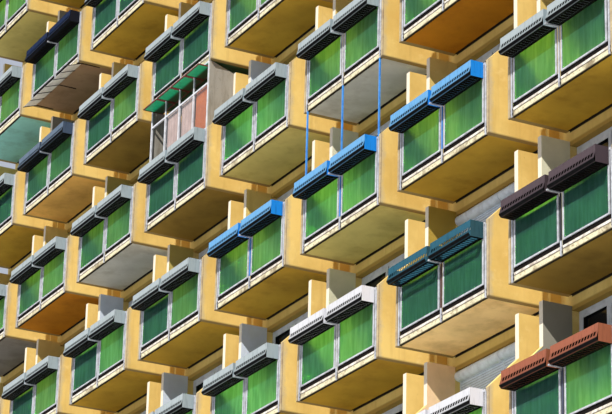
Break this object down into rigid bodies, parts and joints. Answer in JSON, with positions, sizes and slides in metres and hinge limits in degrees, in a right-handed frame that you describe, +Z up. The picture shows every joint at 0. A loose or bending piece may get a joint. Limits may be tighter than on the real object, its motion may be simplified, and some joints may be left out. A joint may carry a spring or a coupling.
{
  "type": "apartment block",
  "caption": "Long apartment block with a grid of identical balconies: yellow walls, green glass railings, painted planters and a flat roof.",
  "frame": {"origin": "on the ground, in the middle of the block's box", "axes": "+X along the front to the right, +Y into the building, +Z up"},
  "size_m": [28.95, 13.417, 33.315],
  "materials": {
    "concrete_base": "rough",
    "concrete_floor": "rough",
    "roof_felt": "rough",
    "yellow_render": "matt",
    "ochre_soffit_concrete": "matt",
    "window_glass": "smooth",
    "coping_metal": "satin",
    "white_paint": "satin",
    "green_glass": "ribbed",
    "grey_planter_paint": "weathered",
    "sky_blue_planter_paint": "weathered",
    "teal_planter_paint": "weathered",
    "white_planter_paint": "weathered",
    "brown_planter_paint": "weathered",
    "terracotta_planter_paint": "weathered",
    "dark_blue_planter_paint": "weathered",
    "blue_grey_planter_paint": "weathered",
    "clear_panes": "smooth",
    "grey_board": "rough",
    "dark_red_paint": "satin",
    "bright_green_pane": "smooth",
    "sky_blue_paint": "satin",
    "pale_canvas": "woven",
    "dark_steel": "weathered",
    "shutter_grey": "satin"
  },
  "bodies": {
    "root": {"ground_slab": "concrete_base", "floor_slabs": "concrete_floor", "roof_slab": "roof_felt", "left_end_wall": "yellow_render", "right_end_wall": "yellow_render", "front_pilasters": "yellow_render", "front_wall_panels": "yellow_render", "front_lintels": "yellow_render", "ground_front_walls": "yellow_render", "rear_piers": "yellow_render", "rear_spandrels": "yellow_render", "front_parapet": "yellow_render", "rear_parapet": "yellow_render", "end_parapets": "yellow_render", "balcony_side_walls": "yellow_render", "balcony_slabs": "ochre_soffit_concrete", "front_window_glass": "window_glass", "rear_window_glass": "window_glass", "long_copings": "coping_metal", "end_copings": "coping_metal", "railing_posts": "white_paint", "handrails": "white_paint", "railing_frames": "white_paint", "slab_edge_strips": "white_paint", "railing_panes": "green_glass", "planters_grey": "grey_planter_paint", "planters_sky_blue": "sky_blue_planter_paint", "planters_teal": "teal_planter_paint", "planters_white": "white_planter_paint", "planters_brown": "brown_planter_paint", "planters_terracotta": "terracotta_planter_paint", "planters_dark_blue": "dark_blue_planter_paint", "planters_blue_grey": "blue_grey_planter_paint", "glazing_frame": "white_paint", "glazing_panes": "clear_panes", "glazing_side_panels": "grey_board", "vent_frames": "dark_red_paint", "vent_panes": "bright_green_pane", "rail_props": "sky_blue_paint", "sunshade_canvas": "pale_canvas", "sunshade_ribs": "dark_steel", "shutter_boxes": "shutter_grey", "roller_shutters": "shutter_grey", "planter_arms": "dark_steel"}
  },
  "joints": []
}
